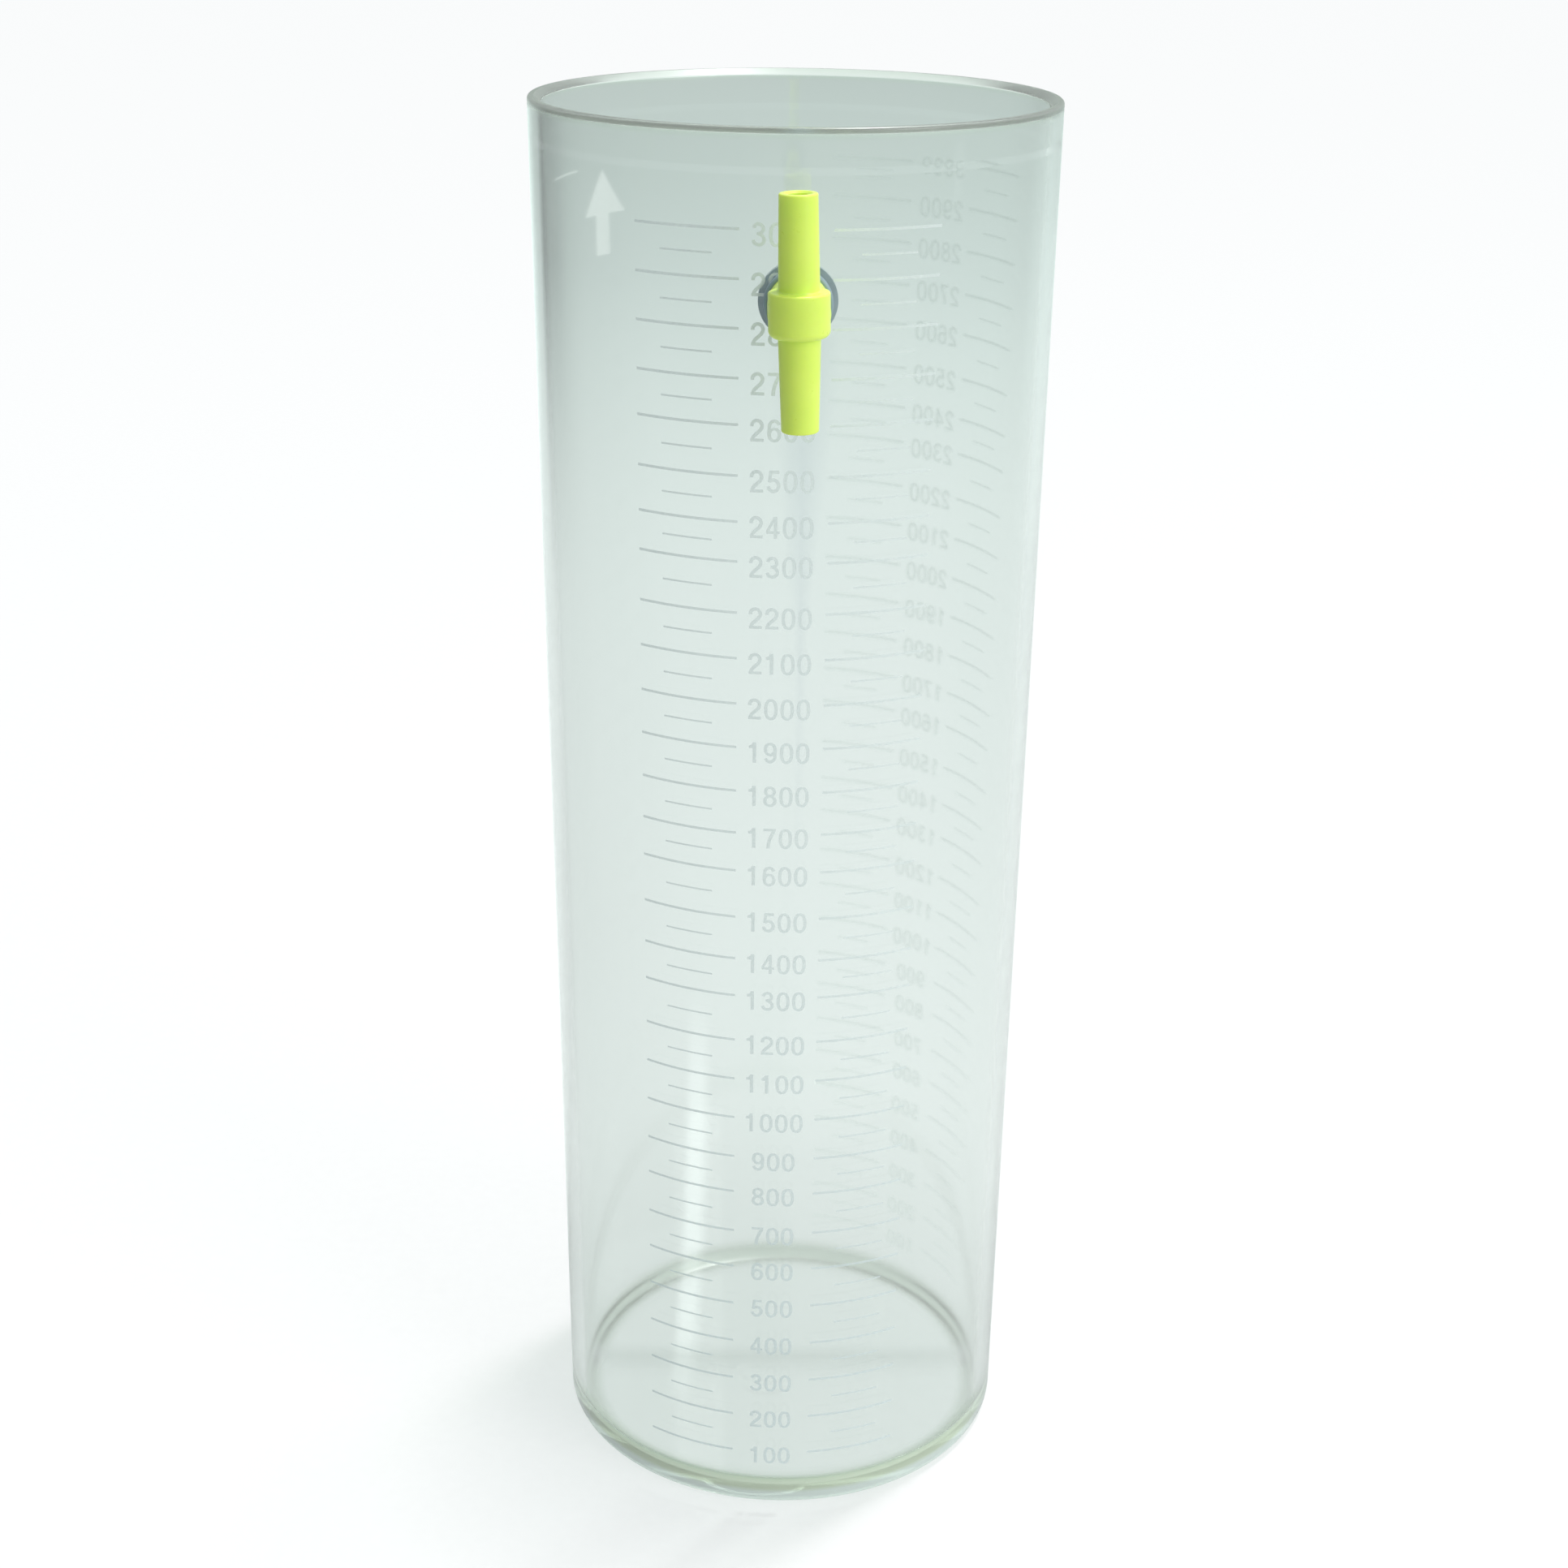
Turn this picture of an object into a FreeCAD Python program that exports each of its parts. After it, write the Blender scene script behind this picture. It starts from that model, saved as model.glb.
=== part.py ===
import FreeCAD, Part
import math, os

# Three litre suction canister: a clear moulded container, open at the top, with a
# yellow tee connector held in a rubber grommet in the wall just below the rim.
# Millimetres. Origin at the centre of the underside of the base, +Z up, the tee
# stands towards -Y.

V = FreeCAD.Vector

# ---------------------------------------------------------------- dimensions
height = 341.5            # overall height of the container
rim_outer_r = 59.95       # outside radius at the rim
base_outer_r = 57.19      # outside radius at the base, before its rounded corner
wall_base = 3.50          # wall thickness at the floor (the inside has more draft)
wall_top = 3.10           # wall thickness just under the rim seat
rim_wall = 3.12           # wall thickness at the widened mouth
seat_z = 331.8            # height of the small sloping step under the rim
seat_slope = 1.60         # height of its slope
chamfer_depth = 1.45      # lead-in chamfer inside the rim: height
chamfer_width = 1.60      # and width
rim_round = 0.75          # rounded outer edge of the rim
floor_z = 3.40            # floor thickness
inner_corner_r = 4.00     # fillet where the floor meets the wall
outer_corner_r = 2.50     # rounded bottom corner outside
floor_rib_w = 8.00        # low rib across the floor: width
floor_rib_y = 2.10        # its middle, a little behind the axis
floor_rib_h = 0.50        # and height
pad_r = 7.90              # low round pad on the floor
pad_h = 0.45
pad_x, pad_y = -3.9, -2.0

port_z = 306.3            # height of the tee's stem
port_hole_r = 5.50        # hole through the wall

stem_r = 3.50             # stem of the tee, through the grommet
swivel_gap = 0.05         # radial running clearance of the stem in the grommet
grommet_outer_r = 7.25    # flange of the grommet outside the wall
grommet_outer_t = 1.80    # its thickness at the middle
grommet_inner_r = 8.20    # flange inside the wall
grommet_inner_t = 2.40
grommet_edge = 0.60       # rounded flange edges

tee_out = 71.50           # distance of the tee's through axis from the canister axis
tee_lean = 1.15           # degrees: how far the tee stands off upright
tee_up = 24.10            # length above the stem axis
tee_down = 24.10          # length below it
collar_r = 6.35           # thick middle of the tee
collar_h = 9.20
collar_top_round = 0.45
collar_bottom_round = 1.40
up_r0, up_r1 = 4.26, 3.97     # upper spigot: radius at the collar and at the end
down_r0, down_r1 = 4.40, 3.90 # lower spigot
tube_round = 0.35         # rounded ends of the spigots
bore_r = 2.45             # bore through both spigots
boss_r = 6.45             # round boss behind the collar
stem_bore_r = 2.00        # bore through the stem
barb_r = 4.60             # push-in head behind the grommet
barb_tip_r = 3.20
barb_len = 5.60
face_gap = 0.05           # gap between the tee's flat faces and the grommet

# ---------------------------------------------------------------- helpers
def outer_r(z):
    return base_outer_r + (rim_outer_r - base_outer_r) * z / height

def wall(z):
    return wall_base + (wall_top - wall_base) * (z - floor_z) / (seat_z - floor_z)

def inner_r(z):
    return outer_r(z) - wall(z)

def P(r, z):
    return V(r, 0, z)

def corner(p_before, p_corner, p_after, radius):
    """Arc of a radius in the corner between two straight lines: start, middle, end."""
    a = p_before.sub(p_corner); a.normalize()
    b = p_after.sub(p_corner); b.normalize()
    half = a.getAngle(b) / 2.0
    d = radius / math.tan(half)
    s = p_corner.add(V(a.x * d, a.y * d, a.z * d))
    e = p_corner.add(V(b.x * d, b.y * d, b.z * d))
    m = a.add(b); m.normalize()
    c = p_corner.add(V(m.x, m.y, m.z).multiply(radius / math.sin(half)))
    toward = p_corner.sub(c); toward.normalize()
    mid = c.add(toward.multiply(radius))
    return s, mid, e

def profile(points):
    """Closed wire in XZ: each entry is (point, corner radius)."""
    n = len(points)
    edges, last, first = [], None, None
    for i in range(n):
        p, r = points[i]
        before, after = points[i - 1][0], points[(i + 1) % n][0]
        if r > 0:
            s, m, e = corner(before, p, after, r)
        else:
            s, m, e = p, None, p
        if last is not None:
            edges.append(Part.LineSegment(last, s).toShape())
        else:
            first = s
        if m is not None:
            edges.append(Part.Arc(s, m, e).toShape())
        last = e
    edges.append(Part.LineSegment(last, first).toShape())
    return Part.Wire(edges)

def lathe(points):
    face = Part.Face(profile(points))
    return face.revolve(V(0, 0, 0), V(0, 0, 1), 360)

def one_solid(shape):
    shape = shape.removeSplitter()
    solids = shape.Solids
    assert len(solids) == 1, len(solids)
    assert solids[0].isValid()
    return solids[0]

# ---------------------------------------------------------------- the container
mouth_r = rim_outer_r - rim_wall
container = lathe([
    (P(0, 0), 0),
    (P(outer_r(0), 0), outer_corner_r),
    (P(outer_r(height), height), rim_round),
    (P(mouth_r + chamfer_width, height), 0.25),
    (P(mouth_r, height - chamfer_depth), 0.50),
    (P(mouth_r, seat_z + seat_slope), 0.40),
    (P(inner_r(seat_z), seat_z), 0.40),
    (P(inner_r(floor_z), floor_z), inner_corner_r),
    (P(0, floor_z), 0),
])

rib_half = inner_r(floor_z) + 1.0
rib = Part.makeBox(2 * rib_half, floor_rib_w, floor_rib_h + 1.0, V(-rib_half, floor_rib_y - floor_rib_w / 2, floor_z - 1.0))
top_edges = [e for e in rib.Edges
             if all(abs(v.Z - (floor_z + floor_rib_h)) < 1e-6 for v in e.Vertexes)
             and abs(e.Vertexes[0].Y - e.Vertexes[1].Y) < 1e-6]
rib = rib.makeFillet(0.45, top_edges)

pad = Part.makeCylinder(pad_r, pad_h + 1.0, V(pad_x, pad_y, floor_z - 1.0), V(0, 0, 1))
pad_edge = [e for e in pad.Edges if e.Curve.TypeId == "Part::GeomCircle"
            and abs(e.Curve.Center.z - (floor_z + pad_h)) < 1e-6]
pad = pad.makeFillet(0.30, pad_edge)

port_cut = Part.makeCylinder(port_hole_r, 20.0, V(0, -outer_r(port_z) - 8.0, port_z), V(0, 1, 0))
canister = one_solid(container.fuse([rib, pad]).cut(port_cut))

# ---------------------------------------------------------------- the grommet
# A rubber ring with a groove for the wall: a neck in the hole and a flange on each
# side, shaped to the curved wall, with flat faces for the tee.
def y_cyl(r, y0, y1):
    return Part.makeCylinder(r, y1 - y0, V(0, y0, port_z), V(0, 1, 0))

y_wall_out = -outer_r(port_z)
y_wall_in = -inner_r(port_z)
y_flange_out = y_wall_out - grommet_outer_t
y_flange_in = y_wall_in + grommet_inner_t

def rounded_disc(r, y0, y1, edge_y):
    d = y_cyl(r, y0, y1)
    ring = [e for e in d.Edges if e.Curve.TypeId == "Part::GeomCircle"
            and abs(e.Curve.Center.y - edge_y) < 1e-6]
    return d.makeFillet(grommet_edge, ring)

# the space inside the container's outer skin, and the space inside its inner skin
skin_out = Part.makeCone(outer_r(0), outer_r(height), height, V(0, 0, 0), V(0, 0, 1))
z0, z1 = floor_z, seat_z
skin_in = Part.makeCone(inner_r(z0), inner_r(z1), z1 - z0, V(0, 0, z0), V(0, 0, 1))
flange_out = rounded_disc(grommet_outer_r, y_flange_out, y_wall_out + 3.0, y_flange_out).cut(skin_out)
flange_in = rounded_disc(grommet_inner_r, y_wall_in - 2.0, y_flange_in, y_flange_in).common(skin_in)
neck = y_cyl(port_hole_r, y_wall_out - 0.6, y_wall_in + 0.9)
grommet = flange_out.fuse([neck, flange_in])
grommet = one_solid(grommet.cut(y_cyl(stem_r + swivel_gap, y_flange_out - 1, y_flange_in + 1)))

# ---------------------------------------------------------------- the tee
half = collar_h / 2.0
barrel = lathe([
    (P(0, -tee_down), 0),
    (P(down_r1, -tee_down), tube_round),
    (P(down_r0, -half), 0.30),
    (P(collar_r, -half), collar_bottom_round),
    (P(collar_r, half), collar_top_round),
    (P(up_r0, half), 0.40),
    (P(up_r1, tee_up), tube_round),
    (P(0, tee_up), 0),
])
# the barrel stands on the stem's axis, in front of the wall
barrel.translate(V(0, -tee_out, 0))

def y_cyl0(r, y0, y1):
    return Part.makeCylinder(r, y1 - y0, V(0, y0, 0), V(0, 1, 0))

y_boss_end = y_flange_out - face_gap
y_barb = y_flange_in + face_gap
boss = y_cyl0(boss_r, -tee_out, y_boss_end)
boss_edge = [e for e in boss.Edges if e.Curve.TypeId == "Part::GeomCircle"
             and abs(e.Curve.Center.y - y_boss_end) < 1e-6]
boss = boss.makeFillet(0.30, boss_edge)
stem = y_cyl0(stem_r, -tee_out, y_barb + 1.0)
barb = Part.makeCone(barb_r, barb_tip_r, barb_len - 0.8, V(0, y_barb + 0.8, 0), V(0, 1, 0))
barb = barb.fuse(y_cyl0(barb_r, y_barb, y_barb + 0.8))
tee = barrel.fuse([boss, stem, barb])
through = Part.makeCylinder(bore_r, tee_up + tee_down + 4, V(0, -tee_out, -tee_down - 2), V(0, 0, 1))
lead = 0.45
lead_top = Part.makeCone(bore_r, bore_r + lead + 0.01, lead + 0.01, V(0, -tee_out, tee_up - lead), V(0, 0, 1))
lead_low = Part.makeCone(bore_r + lead + 0.01, bore_r, lead + 0.01, V(0, -tee_out, -tee_down - 0.01), V(0, 0, 1))
side = y_cyl0(stem_bore_r, -tee_out, y_barb + barb_len + 1.0)
tee = tee.cut(through.fuse([lead_top, lead_low, side]))
tee.rotate(V(0, 0, 0), V(0, -1, 0), tee_lean)
tee.translate(V(0, 0, port_z))
tee = one_solid(tee)

# ---------------------------------------------------------------- write
nodes = {"canister": canister, "port_grommet": grommet, "tee_connector": tee}
os.makedirs("parts", exist_ok=True)
for name, shape in nodes.items():
    shape.exportStep("parts/" + name + ".step")
    bb = shape.BoundBox
    print("%-14s volume %.1f cm3  x %.2f..%.2f  y %.2f..%.2f  z %.2f..%.2f" % (
        name, shape.Volume / 1000.0, bb.XMin, bb.XMax, bb.YMin, bb.YMax, bb.ZMin, bb.ZMax))
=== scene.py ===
import bpy, math
import numpy as np
from mathutils import Matrix, Vector
from mathutils.geometry import delaunay_2d_cdt

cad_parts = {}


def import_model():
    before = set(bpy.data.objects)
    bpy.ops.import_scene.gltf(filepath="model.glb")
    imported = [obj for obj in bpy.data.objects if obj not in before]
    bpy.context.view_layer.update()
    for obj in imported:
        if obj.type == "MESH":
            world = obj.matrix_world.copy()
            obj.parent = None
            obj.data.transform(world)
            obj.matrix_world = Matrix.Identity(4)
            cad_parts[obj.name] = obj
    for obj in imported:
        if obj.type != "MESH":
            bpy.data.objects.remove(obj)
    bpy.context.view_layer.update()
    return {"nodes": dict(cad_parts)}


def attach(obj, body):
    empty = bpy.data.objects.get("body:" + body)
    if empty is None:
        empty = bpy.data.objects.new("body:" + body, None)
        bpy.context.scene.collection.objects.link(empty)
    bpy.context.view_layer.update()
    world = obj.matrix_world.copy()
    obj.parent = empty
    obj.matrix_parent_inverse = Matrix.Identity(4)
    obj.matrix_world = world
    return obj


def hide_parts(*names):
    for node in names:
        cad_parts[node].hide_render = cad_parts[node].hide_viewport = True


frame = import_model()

MM = 0.001

# ------------------------------------------------------------------ sizes, mm
H = 341.5
FOOT = 1.5            # the marks' heights are counted from this much above the underside
RIM_R, BASE_R = 59.95, 57.19
WALL_BASE, WALL_TOP = 3.50, 3.10
MOUTH_R = RIM_R - 3.12
SEAT_Z = 331.8
FLOOR_Z = 3.40
PORT_Z = 306.3
SKIN = 0.02           # the clear skins stand this far inside the plastic, clear of the rubber
HOLE_R = 5.53


def outer_r(z):
    return BASE_R + (RIM_R - BASE_R) * z / H


def inner_r(z):
    return outer_r(z) - (WALL_BASE + (WALL_TOP - WALL_BASE) * (z - FLOOR_Z) / (SEAT_Z - FLOOR_Z))


def smooth(a, b, x):
    t = np.clip((x - a) / (b - a), 0.0, 1.0)
    return t * t * (3 - 2 * t)


# ------------------------------------------------------------------ small helpers
def link(obj):
    bpy.context.scene.collection.objects.link(obj)
    return obj


def mesh_piece(name, verts, faces, loop_normals=None, smooth_faces=True):
    me = bpy.data.meshes.new(name)
    me.from_pydata([tuple(v) for v in verts], [], faces)
    me.update()
    if smooth_faces:
        me.polygons.foreach_set("use_smooth", [True] * len(me.polygons))
    if loop_normals is not None:
        me.normals_split_custom_set(loop_normals)
    return link(bpy.data.objects.new(name, me))


class Graph:
    """A node tree being built: g("ShaderNodeMath", operation="ADD", i0=..., i1=...)."""

    def __init__(self, name=None, tree=None):
        if tree is None:
            self.mat = bpy.data.materials.new(name)
            self.mat.use_nodes = True
            tree = self.mat.node_tree
        self.nt = tree
        self.nt.nodes.clear()
        self.count = 0

    def __call__(self, kind, **kw):
        n = self.nt.nodes.new(kind)
        n.location = (180 * (self.count % 9), -260 * (self.count // 9))
        self.count += 1
        for k, v in kw.items():
            if k[0] == "i" and k[1:].isdigit():
                self.put(n.inputs[int(k[1:])], v)
            elif hasattr(n, k):
                setattr(n, k, v)
            else:
                self.put(n.inputs[k.replace("_", " ")], v)
        return n

    def put(self, socket, v):
        if isinstance(v, bpy.types.NodeSocket):
            self.nt.links.new(v, socket)
        elif isinstance(v, bpy.types.Node):
            self.nt.links.new(v.outputs[0], socket)
        else:
            socket.default_value = v

    def math(self, op, a, b=None, c=None, clamp=False):
        n = self("ShaderNodeMath", operation=op, i0=a)
        n.use_clamp = clamp
        if b is not None:
            self.put(n.inputs[1], b)
        if c is not None:
            self.put(n.inputs[2], c)
        return n.outputs[0]

    def ramp(self, fac, stops, mode="LINEAR"):
        n = self("ShaderNodeValToRGB", i0=fac)
        n.color_ramp.interpolation = mode
        e = n.color_ramp.elements
        while len(e) < len(stops):
            e.new(0.5)
        for i, (p, c) in enumerate(stops):
            e[i].position = p
            e[i].color = tuple(c) + (1,) if len(c) == 3 else c
        return n.outputs[0]

    def noise(self, scale, detail=2.0, rough=0.5, vector=None, w=None):
        n = self("ShaderNodeTexNoise", Scale=scale, Detail=detail, Roughness=rough)
        if vector is not None:
            self.put(n.inputs["Vector"], vector)
        return n.outputs["Fac"]

    def remap(self, v, a, b, c, d):
        n = self("ShaderNodeMapRange", i0=v, i1=a, i2=b, i3=c, i4=d)
        return n.outputs[0]

    def out(self, surface=None, volume=None):
        o = self("ShaderNodeOutputMaterial")
        if surface is not None:
            self.put(o.inputs["Surface"], surface)
        if volume is not None:
            self.put(o.inputs["Volume"], volume)
        return self.mat


def dress(obj, *mats):
    obj.data.materials.clear()
    for m in mats:
        obj.data.materials.append(m)


# ------------------------------------------------------------------ materials
def clear_plastic():
    """Clear moulded wall: slightly smoky, faint flow marks, finely misted inside; painted shade at the foot and a
    painted tee shadow below the port.
    """
    g = Graph("clear_wall_plastic")
    co = g("ShaderNodeTexCoord").outputs["Object"]
    stretch = g("ShaderNodeMapping", i0=co)
    stretch.inputs["Scale"].default_value = (1.0, 1.0, 0.18)
    flow = g.noise(26.0, 2.0, 0.55, stretch)
    tint = g.ramp(flow, [(0.30, (0.955, 0.975, 0.966)), (0.70, (0.975, 0.988, 0.982))])
    rough = g.remap(flow, 0.3, 0.7, 0.044, 0.062)
    b1 = g("ShaderNodeBump", Strength=0.03, Distance=0.0004, Height=flow)
    # the rounded joint between floor and wall, inside, is a little cloudy and olive
    xyz = g("ShaderNodeSeparateXYZ", i0=co)
    x, y, z = xyz.outputs["X"], xyz.outputs["Y"], xyz.outputs["Z"]
    rr = g.math("SQRT", g.math("ADD", g.math("POWER", x, 2.0), g.math("POWER", y, 2.0)))
    inside = g.math("MULTIPLY", g.remap(rr, 0.0548, 0.0552, 1.0, 0.0), g.remap(z, 0.0026, 0.0030, 0.0, 1.0))
    ring = g.math("MULTIPLY", g.remap(rr, 0.0484, 0.0512, 0.0, 1.0), g.remap(z, 0.0060, 0.0092, 1.0, 0.0))
    ring = g.math("MULTIPLY", ring, inside)
    tint = g("ShaderNodeMix", data_type="RGBA", i0=ring, i6=tint, i7=(0.55, 0.63, 0.53, 1)).outputs[2]
    # so is the low rib across the floor
    across = g.math("SUBTRACT", 1.0, g.math("DIVIDE", g.math("ABSOLUTE", g.math("SUBTRACT", y, 0.0021)), 0.0070), clamp=True)
    across = g.math("MULTIPLY", g.math("MULTIPLY", across, inside), g.remap(z, 0.0048, 0.0062, 1.0, 0.0))
    tint = g("ShaderNodeMix", data_type="RGBA", i0=across, i6=tint, i7=(0.72, 0.755, 0.735, 1)).outputs[2]
    # the foot of the wall is cloudy outside, on the port's side, with a painted shade in it: an olive band, darker
    # towards its top, standing in for the contact shadow seen through the foot
    cloud = g.math("MULTIPLY", g.remap(z, 0.0078, 0.0092, 1.0, 0.0), g.remap(z, 0.0001, 0.0004, 0.0, 1.0))
    cloud = g.math("MULTIPLY", cloud, g.math("MULTIPLY", g.remap(rr, 0.0545, 0.0549, 0.0, 1.0), g.remap(y, -0.034, -0.004, 1.0, 0.0)))
    painted_foot_shade = g.math("MULTIPLY", cloud, g.remap(z, 0.0036, 0.0048, 0.0, 1.0))
    tint = g("ShaderNodeMix", data_type="RGBA", i0=cloud, i6=tint, i7=(0.77, 0.90, 0.85, 1)).outputs[2]
    shade = g.ramp(g.remap(z, 0.0040, 0.0080, 0.0, 1.0), [(0.0, (0.66, 0.79, 0.60)), (1.0, (0.52, 0.62, 0.47))])
    tint = g("ShaderNodeMix", data_type="RGBA", i0=painted_foot_shade, i6=tint, i7=shade).outputs[2]
    # the cut rim is slightly frosted and greener
    rim = g.remap(z, 0.3387, 0.3403, 0.0, 1.0)
    tint = g("ShaderNodeMix", data_type="RGBA", i0=rim, i6=tint, i7=(0.90, 0.965, 0.895, 1)).outputs[2]
    rough = g.math("MULTIPLY", rough, g.remap(z, 0.0040, 0.0090, 0.45, 1.0))
    rough = g.math("ADD", rough, g.math("MULTIPLY", ring, 0.26))
    rough = g.math("ADD", rough, g.math("MULTIPLY", across, 0.20))
    rough = g.math("ADD", rough, g.math("MULTIPLY", rim, 0.24))
    # painted shadow of the tee: a faint darker band on the wall running down from the port, in place of the tee's soft
    # shadow on the misty wall
    mid = g.math("ABSOLUTE", g.math("SUBTRACT", x, 0.0014))
    reach = g.remap(z, 0.2350, 0.2915, 0.0017, 0.0078)
    tee_shadow_band = g.math("SUBTRACT", 1.0, g.math("DIVIDE", mid, reach), clamp=True)
    tee_shadow_band = g.math("MULTIPLY", tee_shadow_band, g.remap(z, 0.1715, 0.2765, 0.0, 1.0))
    tee_shadow_band = g.math("MULTIPLY", tee_shadow_band, g.remap(z, 0.2975, 0.3015, 1.0, 0.0))
    tee_shadow_band = g.math("MULTIPLY", tee_shadow_band, g.remap(y, -0.050, -0.045, 1.0, 0.0))
    tint = g("ShaderNodeMix", data_type="RGBA", i0=tee_shadow_band, i6=tint, i7=(0.86, 0.885, 0.90, 1)).outputs[2]
    p = g("ShaderNodeBsdfPrincipled", Roughness=rough, IOR=1.58)
    g.put(p.inputs["Base Color"], tint)
    g.put(p.inputs["Transmission Weight"], g.math("SUBTRACT", 0.965, g.math("MULTIPLY", cloud, 0.48)))
    g.put(p.inputs["Normal"], b1)
    lp = g("ShaderNodeLightPath")
    # the thicker lower wall holds back more light than the upper wall
    shade = g("ShaderNodeMix", data_type="RGBA", i0=g.remap(z, 0.040, 0.190, 0.0, 1.0), i6=(0.800, 0.825, 0.820, 1), i7=(0.97, 0.978, 0.975, 1)).outputs[2]
    shade = g("ShaderNodeMix", data_type="RGBA", i0=lp.outputs["Is Diffuse Ray"], i6=shade, i7=(0.95, 0.96, 0.955, 1)).outputs[2]
    thru = g("ShaderNodeBsdfTransparent", Color=shade)
    fac = g.math("MAXIMUM", lp.outputs["Is Shadow Ray"], lp.outputs["Is Diffuse Ray"])
    mix = g("ShaderNodeMixShader", i0=fac, i1=p, i2=thru)
    vol = g("ShaderNodeVolumeAbsorption", Density=2.2)
    vol.inputs["Color"].default_value = (0.70, 0.84, 0.60, 1)
    return g.out(mix, vol)


def yellow_plastic():
    g = Graph("yellow_moulded_plastic")
    co = g("ShaderNodeTexCoord").outputs["Object"]
    cloud = g.noise(70.0, 4.0, 0.6, co)
    col = g.ramp(cloud, [(0.25, (0.69, 0.90, 0.125)), (0.55, (0.73, 0.945, 0.145)), (0.80, (0.76, 0.965, 0.165))])
    rough = g.remap(g.noise(420.0, 3.0, 0.6, co), 0.3, 0.7, 0.27, 0.38)
    b = g("ShaderNodeBump", Strength=0.10, Distance=0.0001, Height=g.noise(650.0, 3.0, 0.6, co))
    p = g("ShaderNodeBsdfPrincipled", Roughness=rough, IOR=1.50)
    g.put(p.inputs["Base Color"], col)
    g.put(p.inputs["Normal"], b)
    p.inputs["Subsurface Weight"].default_value = 0.45
    p.inputs["Subsurface Radius"].default_value = (1.0, 0.9, 0.25)
    p.inputs["Subsurface Scale"].default_value = 0.0016
    return g.out(p)


def rubber():
    g = Graph("grommet_rubber")
    co = g("ShaderNodeTexCoord").outputs["Object"]
    fine = g.noise(800.0, 4.0, 0.6, co)
    col = g.ramp(g.noise(120.0, 3.0, 0.6, co), [(0.3, (0.215, 0.300, 0.345)), (0.7, (0.255, 0.345, 0.390))])
    rough = g.remap(fine, 0.3, 0.7, 0.26, 0.40)
    b = g("ShaderNodeBump", Strength=0.12, Distance=0.00008, Height=fine)
    p = g("ShaderNodeBsdfPrincipled", Roughness=rough, IOR=1.52)
    g.put(p.inputs["Base Color"], col)
    g.put(p.inputs["Normal"], b)
    return g.out(p)


def ink(name, pale, dark, cover, shade_low=None):
    """Thin printed ink: a little uneven, not quite opaque, and painted greyer low on the wall as painted shade for the
    weaker light there.
    """
    g = Graph(name)
    co = g("ShaderNodeTexCoord").outputs["Object"]
    patch = g.noise(160.0, 3.0, 0.6, co)
    col = g.ramp(patch, [(0.30, dark), (0.70, pale)])
    if shade_low is not None:
        # painted shade: the ink greys towards the foot of the wall
        z = g("ShaderNodeSeparateXYZ", i0=co).outputs["Z"]
        col = g("ShaderNodeMix", data_type="RGBA", i0=g.remap(z, 0.030, 0.170, 1.0, 0.0), i6=col, i7=tuple(shade_low) + (1,)).outputs[2]
    p = g("ShaderNodeBsdfPrincipled", Roughness=0.55, IOR=1.45)
    g.put(p.inputs["Base Color"], col)
    p.inputs["Specular IOR Level"].default_value = 0.25
    thru = g("ShaderNodeBsdfTransparent")
    speck = g.remap(g.noise(1500.0, 2.0, 0.5, co), 0.25, 0.75, cover - 0.06, cover + 0.06)
    mix = g("ShaderNodeMixShader", i0=speck, i1=thru, i2=p)
    return g.out(mix)


# ------------------------------------------------------------------ the container
def rounded(points, arc=6):
    """Closed profile in (r, z) with rounded corners, as (r, z, nr, nz) with the true normals."""
    out = []
    n = len(points)
    for i in range(n):
        (p, rad), a, b = points[i], points[i - 1][0], points[(i + 1) % n][0]
        p, a, b = np.array(p, float), np.array(a, float), np.array(b, float)
        d0, d1 = p - a, b - p
        d0, d1 = d0 / np.linalg.norm(d0), d1 / np.linalg.norm(d1)
        n0, n1 = np.array([d0[1], -d0[0]]), np.array([d1[1], -d1[0]])
        if rad <= 0:
            out.append(("sharp", p, n0, n1))
            continue
        turn = d0[0] * d1[1] - d0[1] * d1[0]
        ang = math.acos(np.clip(d0 @ d1, -1, 1))
        t = rad * math.tan(ang / 2)
        side = 1.0 if turn > 0 else -1.0
        c = (p - d0 * t) - n0 * rad * side
        pts = []
        for k in range(arc + 1):
            f = k / arc
            m = n0 * math.sin((1 - f) * ang) + n1 * math.sin(f * ang)
            m = m / math.sin(ang)
            pts.append((c + m * rad * side, m))
        out.append(("arc", pts))
    return out


def rib_height(x, y):
    """Low rib across the floor and the round pad, above the floor."""
    rib = 0.50 * (1 - smooth(0.50, 5.80, np.abs(y - 2.1)))
    pad = 0.42 * (1 - smooth(6.2, 9.2, np.hypot(x + 3.9, y + 2.0)))
    return np.maximum(rib, pad) + 0.35 * np.minimum(rib, pad)


def half_columns():
    a = list(np.linspace(0, 75, 61)) + list(np.linspace(75, 88.3, 20))[1:]
    a += list(np.linspace(88.3, 91.7, 21))[1:] + list(np.linspace(91.7, 105, 20))[1:]
    a += list(np.linspace(105, 180, 61))[1:]
    return a


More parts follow.
